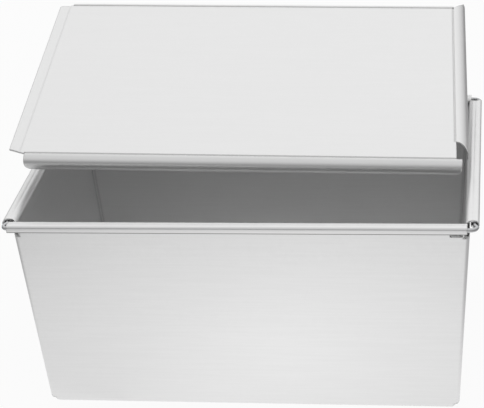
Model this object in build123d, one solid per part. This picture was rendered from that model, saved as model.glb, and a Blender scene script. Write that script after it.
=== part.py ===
from build123d import *
from math import cos, radians, sin, sqrt
import os

# Loaf pan with a sliding lid, in millimetres.
# The origin is the middle of the base, on the surface that the pan stands on.
# +X runs along the length towards the lid's flange, +Y to the back, +Z up.

# Pan, over everything
pan_length = 210.0
pan_width = 137.0
pan_height = 99.0
sheet = 0.8
end_draw = 5.3             # lean of each end wall between the base and the shoulder
side_draw = 1.8            # lean of the front and back walls
corner_bend_radius = 1.0   # inside radius of the upright corners
base_bend_radius = 2.2     # inside radius of the bends round the floor

# Rolled rim
rim_width = 6.5            # wall's inner face to the outermost of the rim
rim_bend_radius = 1.7      # inside radius of the bend from the wall out into the rim
bead_corner_radius = 1.2   # outside radius of the roll, which is pressed nearly square
shoulder_drop = 6.4        # rim's top down to where the walls start to lean
post_gap = 0.55            # from the sheet's top at the corners up to the wire
roll_left_gap = 0.3        # inner side of the wire to the left ends of the front and back rolls
roll_right_gap = 2.3       # the same at the right
mouth_radius = 3.1         # of the round notches that end the end rolls
mouth_inset = 2.9          # outermost of the rim to a notch's centre
mouth_reach = 2.1          # a side wall's inner face out to the same

# Wire in the rim
wire_diameter = 1.9
wire_play = 0.1            # between the wire and the inside of the roll, all round
wire_gap = 0.05            # left under the wire, which lies low in the roll
wire_bulge = 0.7           # how far the bare bends stand out past the end runs
bulge_reach = 2.6          # side run to where a bend stands out most
bend_reach = 5.0           # side run to the end of a bend
bend_cover = 0.1           # of a bend in the end of a side roll

# Corner surplus folded flat on the end walls
ear_layers = 2             # sheets of each ear
ear_reach = 46.0           # from the pan's corner in along the end wall
ear_foot = 3.0             # height of the fold's lower end
ear_drop = 7.4             # rim's top down to an ear's top
ear_trim = 1.0             # cut off the ear's top at the pan's corner
slit_length = 5.5          # relief slits at the right ends of the front and back rolls
slit_height = 1.3
slit_inset = 0.6           # end wall's inner face to the slit

# Lid
lid_span = 204.0           # left edge to the flange's crease
rail_radius = 4.0          # outside of a rail's curl
rail_turn = 165.0          # degrees that the sheet turns in a rail
rail_play = 0.9            # beside the rim, with the lid closed
rail_end_radius = 6.0      # rounding of each rail's lower ends
front_rail_start = 7.5     # from the lid's left edge
back_rail_start = 6.9
front_rail_overrun = 2.6   # past the flange's crease
tongue_front_inset = 3.0   # front crease to the tongue's corner
tongue_back_inset = 1.4
tongue_back_length = 5.1
tongue_corner_radius = 1.5 # at the back, the front one is sharp
flange_radius = 6.0        # outside of the flange's bend
flange_leg = 2.1           # upright part under the bend
flange_corner_radius = 1.8
flange_front_inset = 13.4  # front crease to the flange's end, at the flange's crease
flange_front_flare = 3.5   # how much further forward the flange reaches at its lower edge
flange_back_flare = 8.5    # how far its lower edge reaches behind the back crease
groove_width = 1.0         # pressed lines beside the creases
groove_depth = 0.3
left_groove_inset = 5.0    # left edge to the fainter line there
left_groove_depth = 0.15

# Place on the flange's end cuts that their arcs pass through: across the bend, and along the flare
front_cut_shares = (0.62, 0.26)
back_cut_shares = (0.55, 0.40)

# Where the lid lies, taken off and set down askew
lid_left = 10.55           # left of its closed place
lid_back = 40.3            # behind its closed place
lid_rest_gap = 1.2         # from the rims up to its lowest corner
lid_tilt = 9.1             # degrees, back edge up
lid_roll = 2.0             # degrees, right end down
lid_yaw = 2.1              # degrees, right end to the back

overrun = 5.0              # of an ear's cutting body past the pan's corner

# Worked out from the sizes above
inner_half_length = pan_length / 2 - rim_width
inner_half_width = pan_width / 2 - rim_width
shoulder_z = pan_height - shoulder_drop
bead_half = wire_diameter / 2 + wire_play + sheet
crest_drop = 2 * (wire_play - wire_gap)
wire_inset = bead_half + wire_diameter / 2
wire_z = pan_height - bead_half - wire_play + wire_gap
post_z = wire_z - wire_diameter / 2 - post_gap
crease_y = pan_width / 2 + rail_play + sheet - rail_radius
flange_x = lid_span / 2


def leaning_section(half_size, draw, bottom_z):
    """Section through two facing walls, half_size to each side at the shoulder and level at bottom_z."""
    half_bottom = half_size - draw * (shoulder_z - bottom_z) / shoulder_z
    right_side = [(half_bottom, bottom_z), (half_size, shoulder_z)]
    left_side = [(-half_size, shoulder_z), (-half_bottom, bottom_z)]
    return make_face(Polyline(*right_side, *left_side, close=True))


def pan_block(end_sheets, side_sheets):
    """Solid of the pan's form, so many sheets out from its inside, and upright above the shoulder."""
    half_length = inner_half_length + end_sheets * sheet
    half_width = inner_half_width + side_sheets * sheet
    bottom_z = (1 - side_sheets) * sheet
    long_section = Plane.XZ * leaning_section(half_length, end_draw, bottom_z)
    cross_section = Plane.YZ * leaning_section(half_width, side_draw, bottom_z)
    block = extrude(long_section, half_width, both=True) & extrude(cross_section, half_length, both=True)
    uprights = block.edges().filter_by(lambda edge: edge.bounding_box().size.Z > shoulder_z / 2)
    block = fillet(uprights, corner_bend_radius + side_sheets * sheet)
    base_edges = block.faces().sort_by(Axis.Z)[0].edges()
    block = fillet(base_edges, base_bend_radius + side_sheets * sheet)
    return block + extrude(block.faces().sort_by(Axis.Z)[-1], post_z - shoulder_z)


def ear_outline():
    """Outline of a back ear, seen along X. Its fold rises at 45 degrees from the base's corner."""
    wall_y = inner_half_width + sheet
    outside_y = wall_y + overrun
    foot_y = wall_y - side_draw
    top_z = pan_height - ear_drop
    fold = [(outside_y, ear_foot), (foot_y, ear_foot), (foot_y - ear_reach, ear_foot + ear_reach)]
    top = [(foot_y - ear_reach, top_z), (wall_y - ear_trim, top_z), (outside_y, top_z - ear_trim - overrun)]
    return Plane.YZ * make_face(Polyline(*fold, *top, close=True))


def ears():
    """The four ears, with the filled pan between them."""
    back_ears = extrude(ear_outline(), pan_length / 2, both=True)
    return pan_block(1 + ear_layers, 1) & (back_ears + mirror(back_ears, Plane.XZ))


def rim_section():
    """Section of the rolled rim: x outwards from the wall's inner face, y up from the rim's top."""
    bend_radius = rim_bend_radius + sheet
    bend_centre = (bend_radius, -crest_drop - bend_radius)
    foot_y = post_z - pan_height
    under_y = -crest_drop - sheet
    bead_left = rim_width - 2 * bead_half
    flat_end = bead_left + bead_half / 2
    bend_top = CenterArc(bend_centre, bend_radius, 180, -90)
    flat_ends = [(flat_end, -crest_drop), (flat_end, under_y)]
    flat = Polyline((bend_radius, -crest_drop), *flat_ends, (bend_radius, under_y))
    bend_under = CenterArc(bend_centre, rim_bend_radius, 90, 90)
    post_ends = [(sheet, foot_y), (0, foot_y)]
    post = Polyline((sheet, bend_centre[1]), *post_ends, (0, bend_centre[1]))
    flange_face = make_face([bend_top, flat, bend_under, post])
    bead = RectangleRounded(2 * bead_half, 2 * bead_half, bead_corner_radius)
    bore_half = bead_half - sheet
    bead -= RectangleRounded(2 * bore_half, 2 * bore_half, bead_corner_radius - sheet)
    mouth_height = under_y + 2 * bead_half - bead_corner_radius
    mouth = Rectangle(flat_end - bead_left, mouth_height, align=(Align.MIN, Align.MAX))
    bead = Pos(rim_width - bead_half, -bead_half) * bead
    return flange_face + bead - Pos(bead_left, under_y) * mouth


def rim_roll(start_x, end_x, wall_distance):
    """Rolled rim on a back wall whose inner face is wall_distance from the middle."""
    section = Pos(start_x, wall_distance, pan_height) * (Plane.YZ * rim_section())
    return extrude(section, end_x - start_x)


def end_roll(side):
    """Rolled rim on the end wall of side -1 or 1, with a round notch in each of its ends."""
    half = inner_half_width + mouth_reach
    roll = Rot(0, 0, -90 * side) * rim_roll(-half, half, inner_half_length)
    notch = Cylinder(mouth_radius, pan_height, align=(Align.CENTER, Align.CENTER, Align.MIN))
    for end in (-half, half):
        roll -= Pos(side * (pan_length / 2 - mouth_inset), end, 0) * notch
    return roll


def make_pan_body():
    """The pan: one folded sheet."""
    pan = pan_block(1, 1) + ears() - pan_block(0, 0)
    roll_left = wire_inset + roll_left_gap - pan_length / 2
    roll_right = pan_length / 2 - wire_inset - roll_right_gap
    back_roll = rim_roll(roll_left, roll_right, inner_half_width)
    for roll in (back_roll, mirror(back_roll, Plane.XZ), end_roll(-1), end_roll(1)):
        pan += roll
    slit_x = inner_half_length - slit_inset - slit_length / 2
    slit_z = shoulder_z - slit_height / 4
    return pan - Pos(slit_x, 0, slit_z) * Box(slit_length, pan_width, slit_height)


def wire_bend(side, roll_gap):
    """Bare bend of the wire at the back corner of side -1 or 1, from the side run to the end run."""
    run_x = pan_length / 2 - bead_half
    run_y = pan_width / 2 - bead_half
    start_x = run_x - wire_diameter / 2 - roll_gap - bend_cover
    places = [(start_x, run_y), (run_x + wire_bulge, run_y - bulge_reach), (run_x, run_y - bend_reach)]
    headings = [(side, 0), (0, -1), (0, -1)]
    return Spline([(side * x, y) for x, y in places], tangents=headings)


def make_rim_wire():
    """The closed wire loop that the rim is rolled round."""
    left_bend = wire_bend(-1, roll_left_gap)
    right_bend = wire_bend(1, roll_right_gap)
    back_half = [left_bend, Line(left_bend @ 0, right_bend @ 0), right_bend]
    front_half = [mirror(run, Plane.XZ).edge() for run in back_half]
    end_runs = [Line(back_half[i] @ 1, front_half[i] @ 1) for i in (0, 2)]
    loop = Pos(0, 0, wire_z) * Wire(back_half + front_half + end_runs)
    section = Plane(origin=loop @ 0, z_dir=loop % 0) * Circle(wire_diameter / 2)
    return sweep(section, loop)


def curl(radius, turn):
    """Section of sheet bent down by turn degrees: crease at the origin, x outwards, radius outside."""
    inner_radius = radius - sheet
    centre = (0, -radius)
    outer_arc = CenterArc(centre, radius, 90, -turn)
    inner_arc = CenterArc(centre, inner_radius, 90, -turn)
    crease = Line(outer_arc @ 0, inner_arc @ 0)
    lip = Line(outer_arc @ 1, inner_arc @ 1)
    return make_face([outer_arc, inner_arc, crease, lip])


def rail(start_x, end_x):
    """Rail along the back crease, with its lower ends rounded."""
    length = end_x - start_x
    depth = 2 * rail_radius
    curled = extrude(Pos(start_x, crease_y, 0) * (Plane.YZ * curl(rail_radius, rail_turn)), length)
    outline = Rectangle(length, depth, align=(Align.MIN, Align.MAX))
    outline = fillet(outline.vertices().group_by(Axis.Y)[0], rail_end_radius)
    return curled & extrude(Pos(start_x, 0, 0) * (Plane.XZ * outline), pan_width, both=True)


def panel():
    """Flat of the lid, its top at z = 0, with the tongue at the left."""
    left_x = -flange_x
    tongue_front_y = tongue_front_inset - crease_y
    tongue_back_y = crease_y - tongue_back_inset
    front = [(left_x, tongue_front_y), (left_x + front_rail_start, -crease_y), (flange_x, -crease_y)]
    back = [(flange_x, crease_y), (left_x + back_rail_start, crease_y)]
    tongue_back = [(left_x + tongue_back_length, tongue_back_y), (left_x, tongue_back_y)]
    outline = make_face(Polyline(*front, *back, *tongue_back, close=True))
    back_corner = outline.vertices().group_by(Axis.X)[0].sort_by(Axis.Y)[-1]
    return extrude(fillet(back_corner, tongue_corner_radius), -sheet)


def cut_arc(start, across, along, shares):
    """Arc from start over the bend of the flange, to a point across and along from there."""
    middle = (start[0] + shares[0] * across, start[1] + shares[1] * along)
    return ThreePointArc(start, middle, (start[0] + across, start[1] + along))


def flange():
    """Down-turned stop at the right end, its ends cut in an arc over the bend and square below it."""
    front_y = flange_front_inset - crease_y
    outer_x = flange_x + flange_radius
    front_cut = cut_arc((flange_x, front_y), flange_radius - sheet, -flange_front_flare, front_cut_shares)
    back_cut = cut_arc((flange_x, crease_y), flange_radius - sheet, flange_back_flare, back_cut_shares)
    outer_corners = [(outer_x, front_y - flange_front_flare), (outer_x, crease_y + flange_back_flare)]
    plan = make_face([front_cut, Polyline(front_cut @ 1, *outer_corners, back_cut @ 1), back_cut,
                      Line(back_cut @ 0, front_cut @ 0)])
    leg = Rectangle(sheet, flange_leg, align=(Align.MIN, Align.MAX))
    leg = Pos(flange_radius - sheet, -flange_radius) * leg
    section = Pos(flange_x, 0, 0) * (Plane.XZ * (curl(flange_radius, 90) + leg))
    bent = extrude(section, pan_width, both=True) & extrude(plan, -flange_radius - flange_leg)
    lower_corners = bent.edges().filter_by(Axis.X).group_by(Axis.Z)[0]
    return fillet(lower_corners, flange_corner_radius)


def groove(start, end, depth):
    """Round-bottomed body that presses a groove in the lid's top between two points."""
    radius = (groove_width**2 / 4 + depth**2) / (2 * depth)
    path = Line(start, end)
    section = Plane(origin=path @ 0, z_dir=path % 0) * Circle(radius)
    return Pos(0, 0, radius - depth) * extrude(section, path.length)


def make_lid():
    """The lid, where it lies at rest."""
    left_x = -flange_x
    back_rail = rail(left_x + back_rail_start, flange_x)
    front_rail = rail(left_x + front_rail_start, flange_x + front_rail_overrun)
    lid = panel() + back_rail + mirror(front_rail, Plane.XZ) + flange()
    side_y = crease_y - groove_width / 2
    end_x = flange_x - groove_width / 2
    left_groove_x = left_x + left_groove_inset
    front_y = flange_front_inset - crease_y
    lid -= groove((left_x + front_rail_start, -side_y), (flange_x, -side_y), groove_depth)
    lid -= groove((left_x + back_rail_start, side_y), (flange_x, side_y), groove_depth)
    lid -= groove((end_x, front_y), (end_x, crease_y), groove_depth)
    lid -= groove((left_groove_x, -crease_y), (left_groove_x, crease_y), left_groove_depth)
    return lid_place() * lid


def lid_place():
    """Place of the lid at rest, as high over the rims as keeps its lowest corner clear of them."""
    closed_x = pan_length / 2 - bead_half - flange_x
    turn = Rot(0, 0, lid_yaw) * Rot(0, lid_roll, 0) * Rot(lid_tilt, 0, 0)
    tilt = radians(lid_tilt)
    roll = radians(lid_roll)
    front_drop = sin(tilt) * crease_y + cos(tilt) * 2 * rail_radius
    corner_drop = sin(roll) * (flange_x + front_rail_overrun) + cos(roll) * front_drop
    return Pos(closed_x - lid_left, lid_back, pan_height + lid_rest_gap + corner_drop) * turn


nodes = {
    "pan_body": make_pan_body(),
    "rim_wire": make_rim_wire(),
    "lid": make_lid(),
}

os.makedirs("parts", exist_ok=True)
for name, shape in nodes.items():
    export_step(shape, f"parts/{name}.step")
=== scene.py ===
"""Loaf pan with its sliding lid taken off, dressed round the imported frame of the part."""

import logging
import math
from dataclasses import dataclass
from enum import Enum

import bpy
from mathutils import Matrix, Vector

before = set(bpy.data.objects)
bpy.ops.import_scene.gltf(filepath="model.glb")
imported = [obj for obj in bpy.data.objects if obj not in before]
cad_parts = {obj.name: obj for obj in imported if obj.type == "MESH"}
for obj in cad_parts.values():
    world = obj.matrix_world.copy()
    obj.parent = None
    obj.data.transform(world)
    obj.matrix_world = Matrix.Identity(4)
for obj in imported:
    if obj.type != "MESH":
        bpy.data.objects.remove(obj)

LOG = logging.getLogger("loaf_pan")
MM = 0.001
WHITE = (1.0, 1.0, 1.0, 1.0)
BEVEL_SAMPLES = 6
SEAM_SAMPLES = 8
# Light leaves the deep pan only after many bounces between its bare walls.
GLOSSY_BOUNCES = 20

# Places among a mix's inputs of its share of B, and of A and B as numbers and as colours.
SHARE = 0
NUMBER_A, NUMBER_B = 2, 3
COLOUR_A, COLOUR_B = 6, 7
# Place of the mixed colour among its outputs.
MIXED_COLOUR = 2

Tree = bpy.types.NodeTree
Node = bpy.types.Node
Socket = bpy.types.NodeSocket


def linear(code: str) -> tuple[float, float, float, float]:
    """Turns an sRGB hex colour to linear light.

    Args:
        code: colour as "#rrggbb".

    Returns:
        Red, green, blue and an alpha of 1.
    """
    parts = [int(code[i : i + 2], 16) / 255 for i in (1, 3, 5)]
    light = [c / 12.92 if c <= 0.04045 else ((c + 0.055) / 1.055) ** 2.4 for c in parts]
    return (*light, 1.0)


def add_node(tree: Tree, kind: str, settings: dict | None = None, links: dict | None = None) -> Node:
    """Adds a shader node with its settings and incoming links.

    Args:
        tree: node tree that the node joins.
        kind: Blender's name of the node type.
        settings: node properties by name, or socket defaults by socket name or index.
        links: output sockets by the input that each one feeds.

    Returns:
        The new node.
    """
    node = tree.nodes.new(kind)
    for name, value in (settings or {}).items():
        if isinstance(name, str) and hasattr(node, name):
            setattr(node, name, value)
        else:
            node.inputs[name].default_value = value
    for name, source in (links or {}).items():
        tree.links.new(source, node.inputs[name])
    return node


def new_material(name: str) -> bpy.types.Material:
    """Makes a material whose node tree is empty.

    Args:
        name: what the surface really is.

    Returns:
        The material.
    """
    made = bpy.data.materials.new(name)
    made.use_nodes = True
    made.node_tree.nodes.clear()
    return made


class RollLines(Enum):
    """Way that the mill's lines run on a face once the sheet is bent, as scales of their pattern."""

    LEVEL = (0.03, 1.0, 1.0)
    UPRIGHT = (1.0, 1.0, 0.03)


@dataclass(frozen=True)
class Grain:
    """An uneven pattern in metal: its size in millimetres, and how much finer unevenness is in it."""

    size: float
    detail: float
    fineness: float = 0.5

    def settings(self) -> dict[str, float]:
        """Gives the settings that draw the pattern as noise."""
        return {"Scale": 1 / (self.size * MM), "Detail": self.detail, "Roughness": self.fineness}


@dataclass(frozen=True)
class EtchedAluminium:
    """Bare aluminium sheet, cold rolled, then etched to an even satin before it is bent.

    The etch leaves a fine frost that blurs every reflection, so walls mirror the table and the
    room only as soft light and dark. Faint roll lines run along the length, and up the ends that
    are folded from it. The flats are a little wavy from the bending, and edges that hands and oven
    racks rub are smoother. Painted shade darkens the pressed lines, the slits and the sheet under
    the rolled rim, wherever an occlusion test finds it hidden, and faces that look down, clear of
    the foot, take an under colour that paints shade on the pan. Lengths are in millimetres, and
    turn is how the sheet lies, in degrees about X, Y and Z.
    """

    name: str
    turn: tuple[float, float, float] = (0.0, 0.0, 0.0)
    colour: str = "#f8f8f8"
    # Roll lines are about 0.1 mm apart, too fine to show, so they are drawn 0.9 mm apart.
    line_grain: Grain = Grain(0.9, 3.0, 0.55)
    line_colour: str = "#f6f6f6"
    line_range: tuple[float, float] = (0.35, 0.65)
    # A face that looks this much along X closes the length, and its lines run up it.
    end_slope: tuple[float, float] = (0.6, 0.8)
    # A real frost is under 0.05 mm across, too fine to show, so it is drawn 0.7 mm across.
    frost_grain: Grain = Grain(0.7, 2.0, 0.6)
    frost_depth: float = 0.006
    frost_range: tuple[float, float] = (0.3, 0.7)
    roughness: float = 0.36
    roughness_spread: float = 0.05
    wave_grain: Grain = Grain(70.0, 1.0, 0.4)
    wave_depth: float = 0.12
    edge_width: float = 0.8
    edge_range: tuple[float, float] = (0.995, 0.85)
    rubbed_roughness: float = 0.26
    # Painted shade: seams, pressed lines, slits and the sheet under the rolled rim darken where an
    # occlusion test within the reach finds them hidden.
    seam_shade_colour: str = "#6a6a69"
    seam_shade_reach: float = 2.0
    seam_shade_range: tuple[float, float] = (0.45, 0.96)
    # Faces that look down, clear of the foot, take the under colour: painted shade where it is darker than
    # the sheet.
    under_colour: str = "#f8f8f8"
    under_slope: tuple[float, float] = (-0.12, -0.5)
    under_fade_height: tuple[float, float] = (40.0, 80.0)

    def run_lines(self, tree: Tree, sheet: Socket, run: RollLines) -> Socket:
        """Draws the mill's lines one way.

        Args:
            tree: the material's node tree.
            sheet: place in the sheet's own directions.
            run: way that the lines run.

        Returns:
            The lines, a number from 0 to 1.
        """
        drawn = add_node(tree, "ShaderNodeMapping", {"Scale": run.value}, {"Vector": sheet})
        grain = self.line_grain.settings()
        return add_node(tree, "ShaderNodeTexNoise", grain, {"Vector": drawn.outputs[0]}).outputs[0]

    def roll_lines(self, tree: Tree, sheet: Socket, facing: Socket) -> Socket:
        """Draws the mill's lines level, and upright on the faces that close the length.

        Args:
            tree: the material's node tree.
            sheet: place in the sheet's own directions.
            facing: way that the surface faces.

        Returns:
            The lines, a number from 0 to 1.
        """
        level = self.run_lines(tree, sheet, RollLines.LEVEL)
        upright = self.run_lines(tree, sheet, RollLines.UPRIGHT)
        slope = add_node(tree, "ShaderNodeSeparateXYZ", links={0: facing})
        endwise = add_node(tree, "ShaderNodeMath", {"operation": "ABSOLUTE"}, {0: slope.outputs["X"]})
        end = add_node(
            tree,
            "ShaderNodeMapRange",
            {"From Min": self.end_slope[0], "From Max": self.end_slope[1]},
            {"Value": endwise.outputs[0]},
        )
        lines = add_node(
            tree,
            "ShaderNodeMix",
            {"data_type": "FLOAT"},
            {SHARE: end.outputs[0], NUMBER_A: level, NUMBER_B: upright},
        )
        return lines.outputs[0]

    def patterns(self, tree: Tree) -> tuple[Socket, Socket, Socket]:
        """Lays out the patterns in the sheet's own directions.

        Args:
            tree: the material's node tree.

        Returns:
            Frost, roll lines and waves, each a number from 0 to 1.
        """
        place = add_node(tree, "ShaderNodeTexCoord")
        turn = tuple(math.radians(angle) for angle in self.turn)
        lie = {"vector_type": "TEXTURE", "Rotation": turn}
        sheet = add_node(tree, "ShaderNodeMapping", lie, {"Vector": place.outputs["Object"]}).outputs[0]
        frost = add_node(tree, "ShaderNodeTexNoise", self.frost_grain.settings(), {"Vector": sheet})
        lines = self.roll_lines(tree, sheet, place.outputs["Normal"])
        waves = add_node(tree, "ShaderNodeTexNoise", self.wave_grain.settings(), {"Vector": sheet})
        return frost.outputs[0], lines, waves.outputs[0]

    def edge(self, tree: Tree) -> tuple[Socket, Socket]:
        """Rounds the sheet's edges for the light, and finds how near an edge is.

        Args:
            tree: the material's node tree.

        Returns:
            The rounded normal, and a number that is 1 on an edge and 0 away from it.
        """
        width = {"samples": BEVEL_SAMPLES, "Radius": self.edge_width * MM}
        rounded = add_node(tree, "ShaderNodeBevel", width)
        flat = add_node(tree, "ShaderNodeNewGeometry")
        agree = add_node(
            tree,
            "ShaderNodeVectorMath",
            {"operation": "DOT_PRODUCT"},
            {0: rounded.outputs[0], 1: flat.outputs["Normal"]},
        )
        near = add_node(
            tree,
            "ShaderNodeMapRange",
            {"From Min": self.edge_range[0], "From Max": self.edge_range[1]},
            {"Value": agree.outputs["Value"]},
        )
        return rounded.outputs[0], near.outputs[0]

    def roughen(self, tree: Tree, frost: Socket, near: Socket) -> Socket:
        """Makes the sheet as rough as its frost, and its edges as smooth as rubbing leaves them.

        Args:
            tree: the material's node tree.
            frost: frost, from 0 to 1.
            near: nearness to an edge, from 0 to 1.

        Returns:
            The roughness.
        """
        matt = add_node(
            tree,
            "ShaderNodeMapRange",
            {
                "From Min": self.frost_range[0],
                "From Max": self.frost_range[1],
                "To Min": self.roughness - self.roughness_spread,
                "To Max": self.roughness + self.roughness_spread,
            },
            {"Value": frost},
        )
        rough = add_node(
            tree,
            "ShaderNodeMix",
            {"data_type": "FLOAT", NUMBER_B: self.rubbed_roughness},
            {SHARE: near, NUMBER_A: matt.outputs[0]},
        )
        return rough.outputs[0]

    def under_faces(self, tree: Tree) -> Socket:
        """Finds the faces that take the under colour.

        Args:
            tree: the material's node tree.

        Returns:
            A number that is 1 where a face looks down and is clear of the foot.
        """
        face = add_node(tree, "ShaderNodeTexCoord")
        slope = add_node(tree, "ShaderNodeSeparateXYZ", links={0: face.outputs["Normal"]})
        under = add_node(
            tree,
            "ShaderNodeMapRange",
            {"From Min": self.under_slope[0], "From Max": self.under_slope[1]},
            {"Value": slope.outputs["Z"]},
        )
        level = add_node(tree, "ShaderNodeSeparateXYZ", links={0: face.outputs["Object"]})
        above_foot = add_node(
            tree,
            "ShaderNodeMapRange",
            {"From Min": self.under_fade_height[0] * MM, "From Max": self.under_fade_height[1] * MM},
            {"Value": level.outputs["Z"]},
        )
        under_share = add_node(
            tree,
            "ShaderNodeMath",
            {"operation": "MULTIPLY"},
            {0: under.outputs[0], 1: above_foot.outputs[0]},
        )
        return under_share.outputs[0]

    def tone(self, tree: Tree, lines: Socket) -> Socket:
        """Colours the sheet by its roll lines, and paints shade on its undersides and in its seams.

        Args:
            tree: the material's node tree.
            lines: roll lines, from 0 to 1.

        Returns:
            The colour.
        """
        streak = add_node(
            tree,
            "ShaderNodeMapRange",
            {
                "interpolation_type": "SMOOTHSTEP",
                "From Min": self.line_range[0],
                "From Max": self.line_range[1],
            },
            {"Value": lines},
        )
        grained = add_node(
            tree,
            "ShaderNodeMix",
            {"data_type": "RGBA", COLOUR_A: linear(self.line_colour), COLOUR_B: linear(self.colour)},
            {SHARE: streak.outputs[0]},
        )
        # Painted shade on faces that look down, clear of the foot, by the under colour.
        face = add_node(
            tree,
            "ShaderNodeMix",
            {"data_type": "RGBA", COLOUR_B: linear(self.under_colour)},
            {SHARE: self.under_faces(tree), COLOUR_A: grained.outputs[MIXED_COLOUR]},
        )
        # Painted shade, darker where the sheet is hidden within the seam reach.
        reach = {"samples": SEAM_SAMPLES, "only_local": True, "Distance": self.seam_shade_reach * MM}
        open_share = add_node(tree, "ShaderNodeAmbientOcclusion", reach)
        unshaded = add_node(
            tree,
            "ShaderNodeMapRange",
            {"From Min": self.seam_shade_range[0], "From Max": self.seam_shade_range[1]},
            {"Value": open_share.outputs["AO"]},
        )
        whole = add_node(
            tree,
            "ShaderNodeMix",
            {"data_type": "RGBA", COLOUR_A: linear(self.seam_shade_colour)},
            {SHARE: unshaded.outputs[0], COLOUR_B: face.outputs[MIXED_COLOUR]},
        )
        return whole.outputs[MIXED_COLOUR]

    def material(self) -> bpy.types.Material:
        """Builds the material.

        Returns:
            The material.
        """
        made = new_material(self.name)
        tree = made.node_tree
        frost, lines, waves = self.patterns(tree)
        normal, near = self.edge(tree)
        wavy = add_node(
            tree,
            "ShaderNodeBump",
            {"Distance": self.wave_depth * MM},
            {"Height": waves, "Normal": normal},
        )
        frosted = add_node(
            tree,
            "ShaderNodeBump",
            {"Distance": self.frost_depth * MM},
            {"Height": frost, "Normal": wavy.outputs[0]},
        )
        shader = add_node(
            tree,
            "ShaderNodeBsdfPrincipled",
            {"Metallic": 1.0},
            {
                "Base Color": self.tone(tree, lines),
                "Roughness": self.roughen(tree, frost, near),
                "Normal": frosted.outputs[0],
            },
        )
        add_node(tree, "ShaderNodeOutputMaterial", links={"Surface": shader.outputs[0]})
        return made


@dataclass(frozen=True)
class DrawnSteel:
    """Steel wire, drawn bright through a die and zinc plated.

    The die leaves it smoother than the sheet, so it shows narrow light and dark lines along itself,
    and the thin zinc makes it a little darker and mottled. Lengths are in millimetres.
    """

    name: str
    colour: str = "#dfe0e1"
    mottle_colour: str = "#c9cacc"
    mottle_grain: Grain = Grain(1.6, 3.0)
    roughness: float = 0.24
    scratch_grain: Grain = Grain(0.4, 2.0)
    scratch_depth: float = 0.01

    def material(self) -> bpy.types.Material:
        """Builds the material.

        Returns:
            The material.
        """
        made = new_material(self.name)
        tree = made.node_tree
        place = add_node(tree, "ShaderNodeTexCoord").outputs["Object"]
        mottle = add_node(tree, "ShaderNodeTexNoise", self.mottle_grain.settings(), {"Vector": place})
        colour = add_node(
            tree,
            "ShaderNodeMix",
            {"data_type": "RGBA", COLOUR_A: linear(self.mottle_colour), COLOUR_B: linear(self.colour)},
            {SHARE: mottle.outputs[0]},
        )
        scratches = add_node(tree, "ShaderNodeTexNoise", self.scratch_grain.settings(), {"Vector": place})
        bump = add_node(
            tree,
            "ShaderNodeBump",
            {"Distance": self.scratch_depth * MM},
            {"Height": scratches.outputs[0]},
        )
        shader = add_node(
            tree,
            "ShaderNodeBsdfPrincipled",
            {"Metallic": 1.0, "Roughness": self.roughness},
            {"Base Color": colour.outputs[MIXED_COLOUR], "Normal": bump.outputs[0]},
        )
        add_node(tree, "ShaderNodeOutputMaterial", links={"Surface": shader.outputs[0]})
        return made


@dataclass
class MetalPart:
    """A part of the pan that is bent from sheet or wire, and lies where the frame has it."""

    node: str
    finish: EtchedAluminium | DrawnSteel

    def dress(self) -> None:
        """Gives the part its finish."""
        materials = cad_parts[self.node].data.materials
        materials.clear()
        materials.append(self.finish.material())
        LOG.info("%s: %s", self.node, self.finish.name)


@dataclass
class PhotoCamera:
    """Camera that takes the photograph's view, from values fitted to the pan's edges there.

    Its angles are in degrees: down from level, right of straight along Y, and clockwise about its view.
    """

    place_mm: tuple[float, float, float] = (110.677, -663.222, 433.265)
    pitch: float = 28.248
    yaw: float = -7.811
    roll: float = 3.555
    focal_px: float = 1600.0
    centre_px: tuple[float, float] = (300.0, 204.0)
    frame_px: tuple[float, float] = (484.0, 408.0)
    sensor_mm: float = 36.0

    def facing(self) -> Matrix:
        """Works out the way that the camera faces.

        Returns:
            The camera's right, up and back directions, as columns.
        """
        pitch, yaw, roll = (math.radians(angle) for angle in (self.pitch, self.yaw, self.roll))
        level = Vector((math.cos(yaw), -math.sin(yaw), 0.0))
        ahead = Vector((math.sin(yaw), math.cos(yaw), 0.0))
        forward = math.cos(pitch) * ahead - Vector((0.0, 0.0, math.sin(pitch)))
        down = forward.cross(level)
        right = math.cos(roll) * level + math.sin(roll) * down
        up = right.cross(forward)
        return Matrix((right, up, -forward)).transposed()

    def make(self) -> None:
        """Puts the camera in the scene."""
        width, height = self.frame_px
        data = bpy.data.cameras.new("photo_camera")
        data.sensor_width = self.sensor_mm
        data.lens = self.sensor_mm * self.focal_px / width
        data.shift_x = (width / 2 - self.centre_px[0]) / width
        data.shift_y = (self.centre_px[1] - height / 2) / width
        camera = bpy.data.objects.new("photo_camera", data)
        place = Vector(self.place_mm) * MM
        camera.matrix_world = Matrix.Translation(place) @ self.facing().to_4x4()
        bpy.context.scene.collection.objects.link(camera)
        bpy.context.scene.camera = camera


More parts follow.
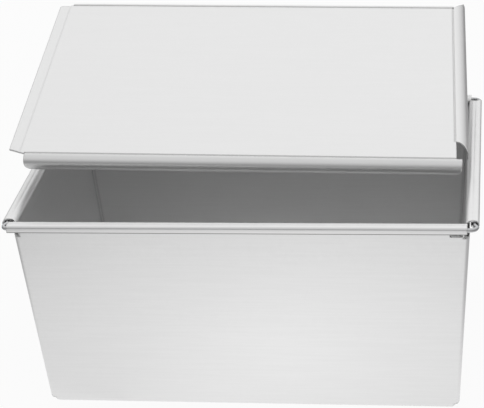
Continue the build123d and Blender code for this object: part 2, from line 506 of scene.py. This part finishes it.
@dataclass
class Studio:
    """White table in a dim room, lit softly from overhead and from a pale wall behind.

    The eye sees the table plain white. Metal sees a painted pool of light on it round the pan,
    with painted shade at each side.
    """

    floor_half_mm: float = 3000.0
    floor_colour: str = "#f4f4f4"
    seen_share: float = 0.93
    # Painted light: metal sees the paper glow in a pool round the pan, though the paper is no lamp.
    pool_centre_mm: tuple[float, float, float] = (10.0, -120.0, 0.0)
    pool_reach_mm: float = 420.0
    pool_light: float = 0.68
    far_light: float = 0.34
    # Painted shade at both sides of the table, darkening the painted pool for metal.
    side_shade_middle_mm: float = -15.0
    side_shade_reach_mm: tuple[float, float] = (130.0, 220.0)
    side_shade_level: float = 0.6
    horizon_light: float = 0.22
    overhead_light: float = 0.68
    overhead_height: float = 0.85
    wall_way: tuple[float, float, float] = (0.0, 1.0, 0.0)
    wall_light: float = 0.44
    wall_spread: tuple[float, float] = (0.15, 1.0)

    def pool(self, tree: Tree, place: Socket) -> Socket:
        """Works out the painted pool of light on the table, which fades away from the pan.

        Args:
            tree: the floor's node tree.
            place: place on the table.

        Returns:
            The light's strength.
        """
        centre = tuple(value * MM for value in self.pool_centre_mm)
        away = add_node(tree, "ShaderNodeVectorMath", {"operation": "DISTANCE", 1: centre}, {0: place})
        steps = add_node(
            tree,
            "ShaderNodeMath",
            {"operation": "DIVIDE", 1: -self.pool_reach_mm * MM},
            {0: away.outputs["Value"]},
        )
        fall = add_node(tree, "ShaderNodeMath", {"operation": "EXPONENT"}, {0: steps.outputs[0]})
        glow = add_node(
            tree,
            "ShaderNodeMath",
            {"operation": "MULTIPLY_ADD", 1: self.pool_light, 2: self.far_light},
            {0: fall.outputs[0]},
        )
        return glow.outputs[0]

    def side_shade(self, tree: Tree, place: Socket) -> Socket:
        """Works out how much light the painted shade at both sides leaves on the table.

        Args:
            tree: the floor's node tree.
            place: place on the table.

        Returns:
            The share of light that is left.
        """
        across = add_node(tree, "ShaderNodeSeparateXYZ", links={0: place})
        aside = add_node(
            tree,
            "ShaderNodeMath",
            {"operation": "SUBTRACT", 1: self.side_shade_middle_mm * MM},
            {0: across.outputs["X"]},
        )
        offset = add_node(tree, "ShaderNodeMath", {"operation": "ABSOLUTE"}, {0: aside.outputs[0]})
        left = add_node(
            tree,
            "ShaderNodeMapRange",
            {
                "interpolation_type": "SMOOTHSTEP",
                "From Min": self.side_shade_reach_mm[0] * MM,
                "From Max": self.side_shade_reach_mm[1] * MM,
                "To Min": 1.0,
                "To Max": self.side_shade_level,
            },
            {"Value": offset.outputs[0]},
        )
        return left.outputs[0]

    def paper(self) -> bpy.types.Material:
        """Builds the table's white paper, which the eye sees white and metal sees glow in a painted pool
        of light.

        Returns:
            The material.
        """
        made = new_material("white_paper")
        tree = made.node_tree
        matt = add_node(tree, "ShaderNodeBsdfDiffuse", {"Color": linear(self.floor_colour)})
        place = add_node(tree, "ShaderNodeNewGeometry").outputs["Position"]
        shaded = add_node(
            tree,
            "ShaderNodeMath",
            {"operation": "MULTIPLY"},
            {0: self.pool(tree, place), 1: self.side_shade(tree, place)},
        )
        path = add_node(tree, "ShaderNodeLightPath")
        seen = path.outputs["Is Camera Ray"]
        strength = add_node(
            tree,
            "ShaderNodeMix",
            {"data_type": "FLOAT", NUMBER_B: 1.0},
            {SHARE: seen, NUMBER_A: shaded.outputs[0]},
        )
        # Painted light: for metal the paper glows with the painted pool and side shade; the eye sees it
        # plain white.
        lit = add_node(tree, "ShaderNodeEmission", {"Color": WHITE}, {"Strength": strength.outputs[0]})
        either = add_node(
            tree,
            "ShaderNodeMath",
            {"operation": "MAXIMUM"},
            {0: seen, 1: path.outputs["Is Glossy Ray"]},
        )
        share = add_node(
            tree,
            "ShaderNodeMath",
            {"operation": "MULTIPLY", 1: self.seen_share},
            {0: either.outputs[0]},
        )
        both = {0: share.outputs[0], 1: matt.outputs[0], 2: lit.outputs[0]}
        mix = add_node(tree, "ShaderNodeMixShader", links=both)
        add_node(tree, "ShaderNodeOutputMaterial", links={"Surface": mix.outputs[0]})
        return made

    def make_floor(self) -> None:
        """Lays the table top."""
        half = self.floor_half_mm * MM
        corners = [(-half, -half, 0), (half, -half, 0), (half, half, 0), (-half, half, 0)]
        mesh = bpy.data.meshes.new("floor")
        mesh.from_pydata(corners, [], [(0, 1, 2, 3)])
        mesh.materials.append(self.paper())
        floor = bpy.data.objects.new("floor", mesh)
        bpy.context.scene.collection.objects.link(floor)

    def room_light(self, tree: Tree) -> Socket:
        """Works out the room's light: dim at the horizon, bright overhead and from the wall behind.

        Args:
            tree: the world's node tree.

        Returns:
            The light's strength.
        """
        way = add_node(tree, "ShaderNodeTexCoord").outputs["Generated"]
        height = add_node(tree, "ShaderNodeSeparateXYZ", links={0: way})
        rise = add_node(
            tree,
            "ShaderNodeMapRange",
            {
                "interpolation_type": "SMOOTHSTEP",
                "From Max": self.overhead_height,
                "To Min": self.horizon_light,
                "To Max": self.overhead_light,
            },
            {"Value": height.outputs["Z"]},
        )
        towards = {"operation": "DOT_PRODUCT", 1: self.wall_way}
        behind = add_node(tree, "ShaderNodeVectorMath", towards, {0: way})
        wall = add_node(
            tree,
            "ShaderNodeMapRange",
            {
                "interpolation_type": "SMOOTHSTEP",
                "From Min": self.wall_spread[0],
                "From Max": self.wall_spread[1],
                "To Max": self.wall_light,
            },
            {"Value": behind.outputs["Value"]},
        )
        both = {0: rise.outputs[0], 1: wall.outputs[0]}
        return add_node(tree, "ShaderNodeMath", {"operation": "ADD"}, both).outputs[0]

    def make_world(self) -> None:
        """Lights the scene from all round, and shows the eye plain white behind it."""
        world = bpy.data.worlds.new("studio")
        bpy.context.scene.world = world
        world.use_nodes = True
        tree = world.node_tree
        tree.nodes.clear()
        path = add_node(tree, "ShaderNodeLightPath")
        strength = add_node(
            tree,
            "ShaderNodeMix",
            {"data_type": "FLOAT", NUMBER_B: 1.0},
            {SHARE: path.outputs["Is Camera Ray"], NUMBER_A: self.room_light(tree)},
        )
        light = add_node(tree, "ShaderNodeBackground", {"Color": WHITE}, {"Strength": strength.outputs[0]})
        add_node(tree, "ShaderNodeOutputWorld", links={"Surface": light.outputs[0]})

    def make(self) -> None:
        """Makes the floor and the world."""
        self.make_floor()
        self.make_world()


@dataclass
class LoafPan:
    """The pan, its rim wire and its lid."""

    # Painted shade on the pan's faces that look down, under the rolled rim.
    pan_under_shade_colour: str = "#7c7c7b"
    # The lid lies askew, so its grain is turned with it.
    lid_turn: tuple[float, float, float] = (9.1, 2.0, 2.1)
    # Painted shade: the lid's colours are darker copies of the pan's, dimming all but the lid's faces that
    # look down.
    lid_shaded_colour: str = "#f4f4f4"
    lid_shaded_line_colour: str = "#f3f3f3"

    def parts(self) -> list[MetalPart]:
        """Lists the parts with their finishes.

        Returns:
            The pan, the wire and the lid.
        """
        pan = EtchedAluminium("etched_aluminium_pan", under_colour=self.pan_under_shade_colour)
        lid = EtchedAluminium(
            "etched_aluminium_lid",
            turn=self.lid_turn,
            colour=self.lid_shaded_colour,
            line_colour=self.lid_shaded_line_colour,
        )
        return [
            MetalPart("pan_body", pan),
            MetalPart("rim_wire", DrawnSteel("drawn_steel_wire")),
            MetalPart("lid", lid),
        ]

    def make(self) -> None:
        """Dresses every part of the pan."""
        for part in self.parts():
            part.dress()


def main() -> None:
    """Builds the scene."""
    logging.basicConfig(level=logging.INFO, format="%(message)s")
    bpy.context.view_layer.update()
    PhotoCamera().make()
    Studio().make()
    LoafPan().make()
    scene = bpy.context.scene
    scene.view_settings.view_transform = "Standard"
    scene.cycles.glossy_bounces = GLOSSY_BOUNCES


if __name__ == "__main__":
    main()
